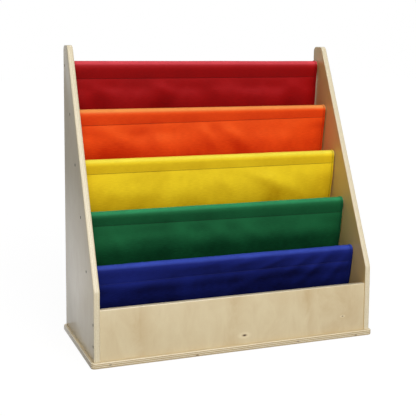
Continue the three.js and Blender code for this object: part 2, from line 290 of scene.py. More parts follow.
def plywood(name, through, along, start, layering, painted_bounce_warmth=0.0, knots=(), stains=(), voids=()):
    """Birch plywood: face figure on the outer veneers, and layers where an edge cuts them."""
    material, tree, surface = new_surface(name)
    across = next(axis for axis in "XYZ" if axis not in (through, along))
    place = shade(tree, "TexCoord", {})["Object"]
    axes = shade(tree, "SeparateXYZ", {0: place})
    depth = axes[through]
    if through == "X":
        depth = magnitude(tree, depth)
    depth = reckon(tree, depth, start, "SUBTRACT")
    run, width = axes[along], axes[across]
    board = shade(tree, "CombineXYZ", {0: run, 1: width, 2: depth})[0]

    # Soft blotches, long streaks and short flecks of the face veneer, with stains along its grain
    blotch = noise_field(tree, board, BLOTCH_STRETCH, 5.0, 0.62, 0.6)
    streak = noise_field(tree, board, STREAK_STRETCH, 4.0, 0.6, 0.4)
    fleck = noise_field(tree, board, FLECK_STRETCH, 2.0)
    figure = ramp(tree, blotch, BLOTCH_FROM, BLOTCH_FULL, 0.0, BLOTCH_STRENGTH)
    figure = reckon(tree, figure, swing(tree, streak, 0.0, STREAK_STRENGTH))
    flecks = ramp(tree, fleck, FLECK_FROM, FLECK_FULL, 0.0, FLECK_STRENGTH)
    figure = reckon(tree, figure, flecks)
    wander = reckon(tree, width, swing(tree, blotch, -STAIN_WANDER, STAIN_WANDER))
    for middle, spread, strength in stains:
        off = magnitude(tree, reckon(tree, wander, middle, "SUBTRACT"))
        band = ramp(tree, off, 0.0, spread, strength, 0.0)
        patchy = ramp(tree, blotch, 0.2, 0.6, 0.4, 1.0)
        figure = reckon(tree, figure, reckon(tree, band, patchy, "MULTIPLY"))
    face = blend_colours(tree, figure, linear(PLY_FACE), linear(PLY_FACE_WARM))
    # Painted warm bounce light from the slings, strongest on a side's inner face and gone at its
    # outer face
    back = ramp(tree, depth, 0.0, BOARD, painted_bounce_warmth, 0.0)
    face = blend_colours(tree, back, face, linear(PLY_PAINTED_BOUNCE))
    for knot_run, knot_width, size in knots:
        off_across = reckon(tree, width, knot_width, "SUBTRACT")
        gap = apart(tree, reckon(tree, run, knot_run, "SUBTRACT"),
                    reckon(tree, off_across, KNOT_SHARE_ACROSS, "MULTIPLY"))
        for inner, outer, strength, colour in KNOT_RINGS:
            ring = ramp(tree, gap, size * inner, size * outer, strength, 0.0)
            face = blend_colours(tree, ring, face, linear(colour))

    # Layers: light ones and darker ones by turns, with thin glue lines and the painted shade of a
    # few small gaps
    wobble = shade(tree, "TexNoise", {"Vector": place, "Scale": LAYER_WOBBLE_SCALE,
                                      "Detail": 2.0})[0]
    count = reckon(tree, depth, PLY_LAYERS / BOARD, "MULTIPLY")
    count = reckon(tree, count, ramp(tree, wobble, 0.0, 1.0, -LAYER_WOBBLE, LAYER_WOBBLE))
    odd = reckon(tree, reckon(tree, count, 2.0, "MODULO"), 1.0, "GREATER_THAN")
    in_layer = reckon(tree, count, 0.0, "FRACT")
    from_middle = magnitude(tree, reckon(tree, in_layer, 0.5, "SUBTRACT"))
    glue = ramp(tree, from_middle, GLUE_FROM, GLUE_FULL, 0.0, layering)
    pores = noise_field(tree, board, PORE_STRETCH, 3.0, 0.7)
    darker = reckon(tree, odd, layering, "MULTIPLY")
    layer = blend_colours(tree, darker, linear(PLY_EDGE_LIGHT), linear(PLY_EDGE_DARK))
    porous = ramp(tree, pores, PORE_FROM, PORE_FULL, 0.0, PORE_STRENGTH)
    layer = blend_colours(tree, porous, layer, linear(PLY_EDGE_DARK))
    layer = blend_colours(tree, glue, layer, linear(PLY_GLUE))
    for void_at, void_depth in voids:
        off_along = reckon(tree, run, void_at, "SUBTRACT")
        gap = apart(tree, reckon(tree, off_along, VOID_SHARE_ALONG, "MULTIPLY"),
                    reckon(tree, depth, void_depth, "SUBTRACT"))
        hollow = ramp(tree, gap, VOID_INNER, VOID_OUTER, 0.95, 0.0)
        layer = blend_colours(tree, hollow, layer, linear(PLY_VOID))

    # Faces look along the board's thickness, edges don't
    normal = shade(tree, "NewGeometry", {})["True Normal"]
    facing = shade(tree, "SeparateXYZ", {0: normal})[through]
    on_face = ramp(tree, magnitude(tree, facing), FACE_FROM, FACE_FULL)
    tree.links.new(blend_colours(tree, on_face, layer, face), surface.inputs["Base Color"])
    tree.links.new(swing(tree, streak, *PLY_ROUGHNESS), surface.inputs["Roughness"])
    relief = reckon(tree, swing(tree, streak), ramp(tree, fleck, 0.4, 0.7))
    bump = shade(tree, "Bump", {"Strength": 0.12, "Distance": 0.0003, "Height": relief})[0]
    tree.links.new(bump, surface.inputs["Normal"])
    surface.inputs["Coat Weight"].default_value = LACQUER
    surface.inputs["Coat Roughness"].default_value = LACQUER_ROUGHNESS
    return material


base_board = sawn_board("base_board_plywood", (-BASE_WIDTH / 2, -BASE_DEPTH / 2, 0),
                        (BASE_WIDTH / 2, BASE_DEPTH / 2, BOARD))
edit(base_board,
     lambda: pick_edges(base_board, lambda a, b: abs(a.z - b.z) > BOARD / 2),
     lambda: bpy.ops.mesh.bevel(offset=BASE_CORNER_RADIUS, segments=BASE_CORNER_STEPS,
                                affect="EDGES"))
ease_edges(base_board, BASE_EASING, EASING_STEPS)
from_below = (0, 0, 1)
base_pockets = [screw_pocket(side * SIDE_MIDDLE, y, 0, from_below)
                for side in (-1, 1) for y in UNDER_SIDE_SCREWS]
base_pockets += [screw_pocket(x, FRONT_PANEL_MIDDLE, 0, from_below) for x in UNDER_FRONT_SCREWS]
bore(base_board, base_pockets)
finish_piece(base_board, plywood("plywood_base", "Z", "X", 0.0, 1.0, voids=BASE_VOIDS),
             "birch_plywood", "base_board")

# Side panels: birch plywood, upright at the foot and leaning back from the knee to a narrow rounded
# top. They are glued and screwed to the base board, screwed to the front rods and the front panel,
# and have blind sockets for the rear rods.
PANEL_TOP = 0.914
PANEL_TOP_DEPTH = 0.055
KNEE_HEIGHT = 0.2235
KNEE_RADIUS = 0.024
TOP_CORNER_RADIUS = 0.016
PANEL_CORNER_STEPS = 10
PANEL_EASING = 0.0032
FOOT_WASTE = 0.006
FOOT_EASING = 0.0014
PANEL_LAYERING, INNER_PAINTED_BOUNCE = 0.26, 0.85
FRONT_PANEL_SCREWS = (0.062, 0.125)

ROD_COUNT = 5
ROD_RADIUS = 0.0125
TOP_ROD = (0.1705, 0.851)
ROD_STEP = (-0.067, -0.1476)
REAR_ROD_DROP = 0.060
REAR_ROD_SETBACK = 0.0198
SOCKET_EASE = 0.0003
SOCKET_DEPTH = 0.008

front_rods = [(TOP_ROD[0] + ROD_STEP[0] * i, TOP_ROD[1] + ROD_STEP[1] * i)
              for i in range(ROD_COUNT)]
rear_rods = [(y - ROD_STEP[0] - REAR_ROD_SETBACK, z - REAR_ROD_DROP) for y, z in front_rods]
lower_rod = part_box("rear_rod_1")
rear_rods[0] = (front_rods[0][0], (lower_rod[0].z + lower_rod[1].z) / 2)


def round_corner(piece, y, z, radius):
    """Rounds the corner of a side panel that stands at this depth and height."""
    def at_corner(a, b):
        return all(abs(p.y - y) < NEAR and abs(p.z - z) < NEAR for p in (a, b))
    angles = []

    def find():
        pick_edges(piece, at_corner)
        mesh = bmesh.from_edit_mesh(piece.data)
        corner = next(edge for edge in mesh.edges if edge.select)
        angles.append(math.pi - corner.calc_face_angle())

    def cut():
        bpy.ops.mesh.bevel(offset=radius / math.tan(angles[0] / 2),
                           segments=PANEL_CORNER_STEPS, affect="EDGES")
    edit(piece, find, cut)


def saw_off(place, outward):
    """Saws the picked shape through at a place and drops what lies outward of the cut."""
    bpy.ops.mesh.bisect(plane_co=place, plane_no=outward, use_fill=True, clear_outer=True)


knee = Vector((0, PANEL_FRONT, KNEE_HEIGHT))
slope = Vector((0, PANEL_BACK - PANEL_TOP_DEPTH, PANEL_TOP)) - knee
side_plywood = plywood("plywood_sides", "X", "Z", INNER_FACE, PANEL_LAYERING, INNER_PAINTED_BOUNCE)
for side, word in ((-1, "left"), (1, "right")):
    faces = sorted((side * INNER_FACE, side * OUTER_FACE))
    panel = sawn_board(f"side_{word}_plywood", (faces[0], PANEL_FRONT, BOARD - FOOT_WASTE),
                       (faces[1], PANEL_BACK, PANEL_TOP))
    edit(panel, pick_all, lambda: saw_off(knee, (0, -slope.z, slope.y)))
    round_corner(panel, PANEL_FRONT, KNEE_HEIGHT, KNEE_RADIUS)
    round_corner(panel, PANEL_BACK - PANEL_TOP_DEPTH, PANEL_TOP, TOP_CORNER_RADIUS)
    round_corner(panel, PANEL_BACK, PANEL_TOP, TOP_CORNER_RADIUS)
    ease_edges(panel, PANEL_EASING, EASING_STEPS)
    edit(panel, pick_all, lambda: saw_off((0, 0, BOARD), (0, 0, -1)))
    ease_edges(panel, FOOT_EASING, FINE_EASING_STEPS)
    holes = [((side * (INNER_FACE - DRILL_OVERRUN), y, z),
              (side * (INNER_FACE + SOCKET_DEPTH), y, z), ROD_RADIUS + SOCKET_EASE)
             for y, z in rear_rods]
    inward = (-side, 0, 0)
    holes += [screw_pocket(side * OUTER_FACE, y, z, inward) for y, z in front_rods]
    holes += [screw_pocket(side * OUTER_FACE, FRONT_PANEL_MIDDLE, z, inward)
              for z in FRONT_PANEL_SCREWS]
    bore(panel, holes)
    finish_piece(panel, side_plywood, "birch_plywood", f"side_panel_{word}")

# Front panel: a low plywood board between the sides, set back a little from their front edges, that
# makes the bottom bin. Its face veneer runs upright, with soft stains, a warmer and darker right
# end, and two small dark knots.
FRONT_PANEL_TOP = 0.169
FRONT_PANEL_EASING = 0.003
JOINT_EASING = 0.0016
FRONT_PANEL_KNOTS = ((0.0459, 0.0166, 0.0027), (0.0695, 0.3529, 0.0012))
# The last, broad entry makes the right end of the panel warmer and darker
FRONT_PANEL_STAINS = ((-0.306, 0.030, 0.50), (0.237, 0.022, 0.45), (-0.010, 0.040, 0.35),
                      (0.120, 0.050, 0.20), (0.350, 0.130, 0.50))


def along_top(a, b):
    return min(a.z, b.z) > FRONT_PANEL_TOP - NEAR and abs(a.x - b.x) > INNER_FACE


front_panel = sawn_board("front_panel_plywood", (-INNER_FACE, FRONT_PANEL_FACE, BOARD),
                         (INNER_FACE, FRONT_PANEL_FACE + BOARD, FRONT_PANEL_TOP))
edit(front_panel,
     lambda: pick_edges(front_panel, along_top),
     lambda: bpy.ops.mesh.bevel(offset=FRONT_PANEL_EASING, segments=EASING_STEPS,
                                affect="EDGES"))
ease_edges(front_panel, JOINT_EASING, FINE_EASING_STEPS)
front_plywood = plywood("plywood_front", "Y", "Z", FRONT_PANEL_FACE, PANEL_LAYERING,
                        knots=FRONT_PANEL_KNOTS, stains=FRONT_PANEL_STAINS)
finish_piece(front_panel, front_plywood, "birch_plywood", "front_panel")

# Rods: sanded birch dowels across the shelf, a front one and a rear one to each sling. The front
# ones butt against the sides and take a screw in each end, and the rear ones sit in the sockets.
ROD_WOOD = (226, 206, 164)
ROD_WOOD_WARM = (204, 176, 126)
ROD_GRAIN_STRETCH = (6.0, 300.0, 300.0)
ROD_ROUGHNESS = (0.48, 0.6)
ROD_SIDES = 48
ROD_CHAMFER = 0.001

rod_material, tree, surface = new_surface("rod_wood")
grain = noise_field(tree, shade(tree, "TexCoord", {})["Object"], ROD_GRAIN_STRETCH, 4.0)
rod_colour = blend_colours(tree, swing(tree, grain), linear(ROD_WOOD), linear(ROD_WOOD_WARM))
tree.links.new(rod_colour, surface.inputs["Base Color"])
tree.links.new(swing(tree, grain, *ROD_ROUGHNESS), surface.inputs["Roughness"])
bump = shade(tree, "Bump", {"Strength": 0.15, "Distance": 0.0003, "Height": grain})[0]
tree.links.new(bump, surface.inputs["Normal"])

in_sockets = INNER_FACE + SOCKET_DEPTH - SOCKET_EASE
for row, places, reach in (("front", front_rods, INNER_FACE), ("rear", rear_rods, in_sockets)):
    for number, (y, z) in enumerate(places, start=1):
        bpy.ops.mesh.primitive_cylinder_add(vertices=ROD_SIDES, radius=ROD_RADIUS,
                                            depth=2 * reach, location=(0, y, z),
                                            rotation=(0, math.pi / 2, 0))
        bpy.ops.object.transform_apply()
        rod = bpy.context.active_object
        rod.name = rod.data.name = f"dowel_{row}_{number}"
        ease_edges(rod, ROD_CHAMFER, FINE_EASING_STEPS)
        finish_piece(rod, rod_material, "rod_wood", f"{row}_rod_{number}")

# Screws: countersunk matt black steel with a cross recess, just below the face. They run through
# the sides into the front rods and the front panel, and up through the base board into the sides
# and the front panel.
SCREW_RECESS = 0.0004
SCREW_HEAD_RADIUS = 0.0048
SCREW_HEAD_DEPTH = 0.0032
SCREW_SHANK_RADIUS = 0.0022
SCREW_TIP = 0.006
SCREW_SIDES = 24
SCREW_CROSS = 0.0046
SCREW_CROSS_WIDTH = 0.0009
SCREW_CROSS_DEPTH = 0.0018
ROD_SCREW, BOARD_SCREW = 0.050, 0.042
STEEL_BLACK, STEEL_WORN = (8, 8, 8), (28, 27, 26)
STEEL_WEAR_SCALE = 900.0
STEEL_ROUGHNESS = (0.6, 0.75)
STEEL_SPECULAR = 0.05
SAME_POINT = 1e-5

screw_material, tree, surface = new_surface("black_steel")
worn = shade(tree, "TexNoise", {"Vector": shade(tree, "TexCoord", {})["Object"],
                                "Scale": STEEL_WEAR_SCALE, "Detail": 3.0})[0]
steel_colour = blend_colours(tree, ramp(tree, worn, 0.5, 0.8),
                             linear(STEEL_BLACK), linear(STEEL_WORN))
tree.links.new(steel_colour, surface.inputs["Base Color"])
tree.links.new(ramp(tree, worn, 0.3, 0.8, *STEEL_ROUGHNESS), surface.inputs["Roughness"])
surface.inputs["Specular IOR Level"].default_value = STEEL_SPECULAR


def turned_screw(length):
    """One screw along Z with the top of its head at the origin, its tip down, and a cross in it."""
    outline = ((0.0, 0.0), (SCREW_HEAD_RADIUS, 0.0), (SCREW_SHANK_RADIUS, -SCREW_HEAD_DEPTH),
               (SCREW_SHANK_RADIUS, SCREW_TIP - length), (0.0, -length))
    mesh = bpy.data.meshes.new("screw")
    mesh.from_pydata([(x, 0, z) for x, z in outline],
                     [(i, i + 1) for i in range(len(outline) - 1)], [])
    made = bpy.data.objects.new("screw", mesh)
    scene.collection.objects.link(made)
    edit(made,
         pick_all,
         lambda: bpy.ops.mesh.spin(steps=SCREW_SIDES, angle=2 * math.pi, center=(0, 0, 0),
                                   axis=(0, 0, 1)),
         pick_all,
         lambda: bpy.ops.mesh.remove_doubles(threshold=SAME_POINT),
         lambda: bpy.ops.mesh.normals_make_consistent(inside=False))
    for arm in (0, math.pi / 2):
        bpy.ops.mesh.primitive_cube_add(
            size=1, rotation=(0, 0, arm),
            scale=(SCREW_CROSS, SCREW_CROSS_WIDTH, 2 * SCREW_CROSS_DEPTH))
        cutter = bpy.context.active_object
        apply_modifier(made, "BOOLEAN", operation="DIFFERENCE", solver="EXACT", object=cutter)
        bpy.data.objects.remove(cutter)
    return made


turns = random.Random(7)
downward = Vector((0, 0, -1))
screw_rows = []
for side, word in ((-1, "left"), (1, "right")):
    outward = Vector((side, 0, 0))
    flush = side * (OUTER_FACE - SCREW_RECESS)
    screw_rows.append((f"rod_screw_{word}", ROD_SCREW, outward,
                       [(flush, y, z) for y, z in front_rods]))
    screw_rows.append((f"front_panel_screw_{word}", BOARD_SCREW, outward,
                       [(flush, FRONT_PANEL_MIDDLE, z) for z in FRONT_PANEL_SCREWS]))
    screw_rows.append((f"base_screw_{word}", BOARD_SCREW, downward,
                       [(side * SIDE_MIDDLE, y, SCREW_RECESS) for y in UNDER_SIDE_SCREWS]))
screw_rows.append(("base_screw_front", BOARD_SCREW, downward,
                   [(x, FRONT_PANEL_MIDDLE, SCREW_RECESS) for x in UNDER_FRONT_SCREWS]))
patterns = {length: turned_screw(length) for length in (ROD_SCREW, BOARD_SCREW)}
for row, length, head_faces, places in screw_rows:
    facing = head_faces.to_track_quat("Z", "Y").to_matrix().to_4x4()
    for number, at in enumerate(places, start=1):
        mesh = patterns[length].data.copy()
        screw = bpy.data.objects.new(f"{row}_{number}_steel", mesh)
        scene.collection.objects.link(screw)
        spin = Matrix.Rotation(turns.uniform(0, math.pi), 4, "Z")
        mesh.transform(Matrix.Translation(at) @ facing @ spin)
        finish_piece(screw, screw_material, "black_steel", f"{row}_{number}")
for pattern in patterns.values():
    bpy.data.objects.remove(pattern)

# Slings: plain woven polyester, cut as one rectangle and hemmed on both sides. Each end is turned
# over into a sleeve and stitched, and a rod runs through each sleeve; the cloth hangs between them
# in a deep pocket, apart from the top one, which hangs straight.
CLOTH_CUT = (0.876, 0.510)
CLOTH_THICKNESS = 0.001
LAYER_GAP = 0.00015
SLING_HALF_WIDTH = 0.427
SIDE_HEM, HEM_STITCHES_AT = 0.008, 0.0064
HEM_BELOW_SEAM = 0.006
SEAM_FORWARD = 0.0100

POCKET_DEPTH = 0.185
POCKET_SAG = 0.006
POCKET_EASE = 1.25
POCKET_NARROWING = 0.0020
STRAIGHT_BACK, STRAIGHT_BACK_LATE = 0.0100, 1.5

EDGE_COLUMNS = (0.0, 0.0008, 0.0034, 0.0056, HEM_STITCHES_AT, 0.0072, 0.0080, 0.0088)
MIDDLE_COLUMNS = 170
FLAT_STEPS, ARC_STEPS, BODY_STEPS, HEM_STEPS = 14, 10, 64, 3
FLAT_CROWDING, BODY_CROWDING = 1.5, 0.11

# Small puckers along a seam: height, waves across, place beyond the seam and reach
PUCKER, PUCKER_RATE, PUCKER_AT, PUCKER_REACH = 0.0004, 110, 0.005, 0.006
# Gentle waves of the body: height, waves across and along, and a seed of their own
BODY_WAVES = ((0.0014, 8, 6, 0), (0.0011, 15, 17, 5), (0.0004, 38, 24, 7))
BODY_EASE = 0.040
SEAM_SHARE = 0.5
HOLLOW_AT, HOLLOW_REACH = 0.125, 0.052
SLEEVE_FULLEST, SLEEVE_TUCK = 0.54, 1.4
SLEEVE_CREASE_EASE = 0.012
SLACK_RATES, SLACK_BIAS, SLACK_EASE = (6.5, 14), 0.25, 0.025

STITCH_LENGTH, STITCH_PITCH, STITCH_RADIUS = 0.0031, 0.0034, 0.00055
STITCH_FLATNESS, STITCH_LIFT = 0.8, 0.4
TWIST_SCALE, TWIST_DARKER = 2600.0, 0.72

THREAD_PITCHES = (("X", 0.00062), ("Y", 0.00070))
WAVE_PERIOD, WEAVE_WAVER = 0.314, 0.4
SLUB_STRETCH, SLUB_RELIEF = (60.0, 900.0, 1.0), 0.6
CLOUD_SCALE = 9.0
# Tilts between which painted shade turns the cloth to its under colour where it faces down
DOWN_FROM, DOWN_FULL = 0.02, -0.45
UNEVENNESS = 0.20
CLOTH_ROUGHNESS = (0.46, 0.56)
CLOTH_SPECULAR, SHEEN_ROUGHNESS = 0.08, 0.35

columns = [SLING_HALF_WIDTH - edge for edge in EDGE_COLUMNS]
inner_half = columns[-1]
middle_columns = [inner_half * (2 * i / MIDDLE_COLUMNS - 1) for i in range(1, MIDDLE_COLUMNS)]
columns = [-x for x in columns] + middle_columns + columns[::-1]
last_column = len(columns) - 1
sleeve_radius = ROD_RADIUS + SOCKET_EASE
sleeve_steps = ARC_STEPS + FLAT_STEPS


def softened(share):
    """A share from 0 to 1 that starts and ends gently."""
    return share * share * (3 - 2 * share)


def pocket_point(start, end, lowest, t):
    """A point of the cloth between the two seams of a pocket, from the front seam to the rear."""
    control = (8 * lowest - start[1] - end[1]) / 6
    eased = t ** POCKET_EASE
    y = start[0] + (end[0] - start[0]) * (3 * eased ** 2 - 2 * eased ** 3)
    z = (1 - t) ** 3 * start[1] + 3 * (1 - t) * t * control + t ** 3 * end[1]
    return y, z


def sleeve_line(centre, seam, kind):
    """The cloth's inner line from a seam, round the far side of a rod and back to the seam. Each
    point has its distance from the far side, less than zero before it, and that of the seam."""
    drop = math.dist(centre, seam)
    toward = 1 if seam[1] > centre[1] else -1
    turn = math.asin(toward * (centre[0] - seam[0]) / drop)
    meet = math.acos(sleeve_radius / drop)
    flat = drop * math.sin(meet)
    reach = sleeve_radius * (math.pi - meet) + flat
    half = []
    for i in range(ARC_STEPS + 1):
        angle = (math.pi - meet) * i / ARC_STEPS
        half.append((sleeve_radius * math.sin(angle), -toward * sleeve_radius * math.cos(angle),
                     sleeve_radius * angle))
    on_y, on_z, on_far = half[-1]
    for i in range(1, FLAT_STEPS + 1):
        share = 1 - (1 - i / FLAT_STEPS) ** FLAT_CROWDING
        half.append((on_y * (1 - share) + LAYER_GAP, on_z + (toward * drop - on_z) * share,
                     on_far + flat * share))
    both = [(-toward * y, z, -far) for y, z, far in half[:0:-1]]
    both += [(toward * y, z, far) for y, z, far in half]
    cosine, sine = math.cos(turn), math.sin(turn)
    return [(centre[0] + y * cosine - z * sine, centre[1] + y * sine + z * cosine,
             kind, far, reach) for y, z, far in both]


def cloth_line(front, rear, pocket, drops, sag):
    """The whole line of the cloth in depth and height, from one turned-under edge to the other."""
    toward = -1 if pocket else 1
    first = (front[0] - SEAM_FORWARD, front[1] - drops[0])
    second = (rear[0] - (0 if pocket else SEAM_FORWARD), rear[1] + toward * drops[1])
    hem = [HEM_BELOW_SEAM * i / HEM_STEPS for i in range(1, HEM_STEPS + 1)]
    line = [(first[0] + LAYER_GAP, first[1] - below, "front hem", 0, 0) for below in reversed(hem)]
    line += sleeve_line(front, first, "front")
    body = []
    for i in range(BODY_STEPS + 1):
        share = i / BODY_STEPS
        share -= BODY_CROWDING * math.sin(2 * math.pi * share)
        if pocket:
            body.append(pocket_point(first, second, front[1] - POCKET_DEPTH - sag, share))
        else:
            back = STRAIGHT_BACK * math.sin(math.pi * share ** STRAIGHT_BACK_LATE) ** 2
            body.append((first[0] + back, first[1] + (second[1] - first[1]) * share))
    spans = [0.0]
    for a, b in zip(body, body[1:]):
        spans.append(spans[-1] + math.dist(a, b))
    line += [(y - LAYER_GAP, z, "body", span, spans[-1])
             for (y, z), span in list(zip(body, spans))[1:-1]]
    line += sleeve_line(rear, second, "rear")
    line += [(second[0] + toward * LAYER_GAP, second[1] + toward * below, "rear hem", 0, 0)
             for below in hem]
    return line


def stand_out(folds, x, down):
    """How far long soft folds make the cloth stand out at a place below its front rod's middle."""
    height = 0.0
    for at_x, at_down, long, wide, lean, stand in folds:
        dx, dz = x - at_x, down - at_down
        along = dx * math.cos(lean) + dz * math.sin(lean)
        off = -dx * math.sin(lean) + dz * math.cos(lean)
        height += stand * math.exp(-(along / long) ** 2 - (off / wide) ** 2)
    return height


def cloth_lift(x, point, down, sling, seed):
    """How far the cloth stands off its plain line at one point, so far below its front rod."""
    kind, far, reach = point[2:]
    if kind == "rear hem":
        return 0.0
    fold, crease = stand_out(sling["folds"], x, down), stand_out(sling["creases"], x, down)
    if kind == "front hem":
        return -SEAM_SHARE * fold - crease
    gap = min(far, reach - far) if kind == "body" else reach - abs(far)
    pucker = PUCKER * noise.noise(Vector((x * PUCKER_RATE, seed, 3.0)))
    lift = pucker * math.exp(-((gap - PUCKER_AT) / PUCKER_REACH) ** 2)
    if kind == "body":
        window = softened(min(1.0, gap / BODY_EASE))
        kept = SEAM_SHARE if far < reach / 2 else 0.0
        soft = sum(height * noise.noise(Vector((x * across, far * along, seed + own)))
                   for height, across, along, own in BODY_WAVES)
        lift += soft * window + fold * (kept + (1 - kept) * window) + crease
        return lift - sling["hollow"] * math.exp(-((far - HOLLOW_AT) / HOLLOW_REACH) ** 2)
    nearness = softened(abs(far) / reach)
    if kind == "front" and far > 0:
        at_left, at_right = sling["fullness"]
        full = at_left + (at_right - at_left) * (x / SLING_HALF_WIDTH + 1) / 2
        rise = min(1.0, far / (SLEEVE_FULLEST * reach))
        fall = max(0.0, far / reach - SLEEVE_FULLEST) / (1 - SLEEVE_FULLEST)
        lift += full * (softened(rise) - min(1.0, fall) ** SLEEVE_TUCK)
        lift += crease * min(1.0, far / SLEEVE_CREASE_EASE) + SEAM_SHARE * fold * nearness
    elif kind == "front":
        lift -= (SEAM_SHARE * fold + crease) * nearness
    slack = noise.noise(Vector((x * SLACK_RATES[0], far * SLACK_RATES[1], seed + 3)))
    slack = max(0.0, SLACK_BIAS + slack)
    return lift + sling["looseness"] * slack * min(1.0, gap / SLACK_EASE)


def make_sling(name, front, rear, pocket, sling, seed):
    """One sling: a flat grid of cloth laid along its line with its folds, then made thick."""
    drops = sling["drops"]
    middle_drop = sum(drops) / 2
    last_row = len(cloth_line(front, rear, pocket, (middle_drop, middle_drop), 0.0)) - 1
    bpy.ops.mesh.primitive_grid_add(x_subdivisions=last_column, y_subdivisions=last_row, size=2)
    piece = bpy.context.active_object
    piece.name = piece.data.name = name
    lines, places = {}, {}
    shaped, doubled, single = [], [], []
    for index, flat in enumerate([vertex.co.copy() for vertex in piece.data.vertices]):
        column = round((flat.x + 1) / 2 * last_column)
        row = round((flat.y + 1) / 2 * last_row)
        x = columns[column]
        if column not in lines:
            share = x / SLING_HALF_WIDTH
            front_drop = middle_drop + (drops[1] - drops[0]) / 2 * share
            lines[column] = cloth_line(front, rear, pocket, (front_drop, middle_drop),
                                       POCKET_SAG * (1 - share ** 2))
        line = lines[column]
        before, after = line[max(row - 1, 0)], line[min(row + 1, last_row)]
        dy, dz = after[0] - before[0], after[1] - before[1]
        length = math.hypot(dy, dz)
        point = line[row]
        lift = cloth_lift(x, point, front[1] - point[1], sling, seed)
        if pocket and point[2] == "body":
            x *= 1 - POCKET_NARROWING * math.sin(math.pi * point[3] / point[4])
        out = Vector((0, dz / length, -dy / length))
        place = Vector((x, point[0], point[1])) + out * lift
        shaped.extend(place)
        places[column, row] = place, out
        from_side = SLING_HALF_WIDTH - abs(columns[column])
        hemmed = from_side < SIDE_HEM + NEAR or point[2].endswith("hem")
        (doubled if hemmed else single).append(index)
    piece.data.vertices.foreach_set("co", shaped)
    piece.data.update()
    layers = piece.vertex_groups.new(name="layers")
    layers.add(doubled, 1.0, "REPLACE")
    layers.add(single, 0.5, "REPLACE")
    apply_modifier(piece, "SOLIDIFY", thickness=2 * CLOTH_THICKNESS, offset=-1,
                   vertex_group="layers", use_rim=True)
    return piece, places, last_row


bpy.ops.mesh.primitive_uv_sphere_add(segments=6, ring_count=4, radius=1)
stitch_pattern = bpy.context.active_object
stitch_pattern.data.transform(Matrix.Diagonal(
    (STITCH_LENGTH / 2, STITCH_RADIUS, STITCH_RADIUS * STITCH_FLATNESS, 1)))


def sew(name, seams, material):
    """Lays thread stitches, one after the other, along lines of points with an outward side."""
    corners = [v.co.copy() for v in stitch_pattern.data.vertices]
    sides = [tuple(p.vertices) for p in stitch_pattern.data.polygons]
    verts, faces = [], []
    for points in seams:
        travelled, due = 0.0, STITCH_PITCH / 2
        for (a, out_a), (b, out_b) in zip(points, points[1:]):
            span = (b - a).length
            while span > 0 and due <= travelled + span:
                share = (due - travelled) / span
                along = (b - a).normalized()
                out = out_a.lerp(out_b, share)
                out = (out - along * out.dot(along)).normalized()
                basis = Matrix((along, out.cross(along), out)).transposed()
                at = a.lerp(b, share) + out * STITCH_RADIUS * STITCH_LIFT
                faces += [tuple(len(verts) + i for i in side) for side in sides]
                verts += [at + basis @ corner for corner in corners]
                due += STITCH_PITCH
            travelled += span
    mesh = bpy.data.meshes.new(name)
    mesh.from_pydata(verts, [], faces)
    piece = bpy.data.objects.new(name, mesh)
    scene.collection.objects.link(piece)
    piece.data.materials.append(material)
    pick(piece)
    bpy.ops.object.shade_smooth()
    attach(piece, "root")
    return piece


def woven_cloth(name, sling):
    """Plain woven polyester: two crossing threads and a soft sheen, with painted shade making it
    deeper in colour where it faces down and a painted highlight making it paler where it faces up."""
    sheen, level_tilt, raised_tilt = sling["glow"]
    material, tree, surface = new_surface(name)
    metres = stretched(tree, shade(tree, "UVMap", {})[0], (CLOTH_CUT[0], CLOTH_CUT[1], 1.0))
    threads = []
    for direction, pitch in THREAD_PITCHES:
        thread = shade(tree, "TexWave", {"Vector": metres, "Scale": WAVE_PERIOD / pitch,
                                         "Distortion": WEAVE_WAVER, "Detail": 1.0,
                                         "Detail Scale": 1.0},
                       bands_direction=direction)
        threads.append(thread["Fac"])
    weave = reckon(tree, threads[0], threads[1], "MAXIMUM")
    slub = noise_field(tree, metres, SLUB_STRETCH, 3.0)
    cloud = shade(tree, "TexNoise", {"Vector": metres, "Scale": CLOUD_SCALE, "Detail": 3.0})[0]
    facing = shade(tree, "SeparateXYZ", {0: shade(tree, "NewGeometry", {})["Normal"]})["Z"]
    # Painted highlight: the colour ahead turns to the paler upper colour where the cloth faces up
    raised = shade(tree, "MapRange", {0: facing, 1: level_tilt, 2: raised_tilt, 3: 0.0, 4: 1.0},
                   interpolation_type="SMOOTHSTEP")[0]
    tone = blend_colours(tree, raised, linear(sling["ahead"]), linear(sling["upper"]))
    # Painted shade where the cloth faces down, plus random slub, weave and cloud unevenness,
    # towards the under colour
    tint = reckon(tree, ramp(tree, facing, DOWN_FROM, DOWN_FULL),
                  swing(tree, slub, 0.0, UNEVENNESS))
    tint = reckon(tree, tint, ramp(tree, weave, 0.0, 1.0, UNEVENNESS, 0.0))
    tint = reckon(tree, tint, ramp(tree, cloud, 0.35, 0.7, 0.0, UNEVENNESS))
    tint = reckon(tree, tint, 1.0, "MINIMUM")
    tinted = blend_colours(tree, tint, tone, linear(sling["under"]))
    tree.links.new(tinted, surface.inputs["Base Color"])
    height = reckon(tree, weave, reckon(tree, slub, SLUB_RELIEF, "MULTIPLY"))
    bump = shade(tree, "Bump", {"Strength": 0.22, "Distance": 0.00025, "Height": height})[0]
    tree.links.new(bump, surface.inputs["Normal"])
    tree.links.new(swing(tree, slub, *CLOTH_ROUGHNESS), surface.inputs["Roughness"])
    surface.inputs["Specular IOR Level"].default_value = CLOTH_SPECULAR
    surface.inputs["Sheen Weight"].default_value = sheen
    surface.inputs["Sheen Roughness"].default_value = SHEEN_ROUGHNESS
    pale = linear(sling["upper"])[:3]
    surface.inputs["Sheen Tint"].default_value = tuple(c / max(pale) for c in pale) + (1.0,)
    return material


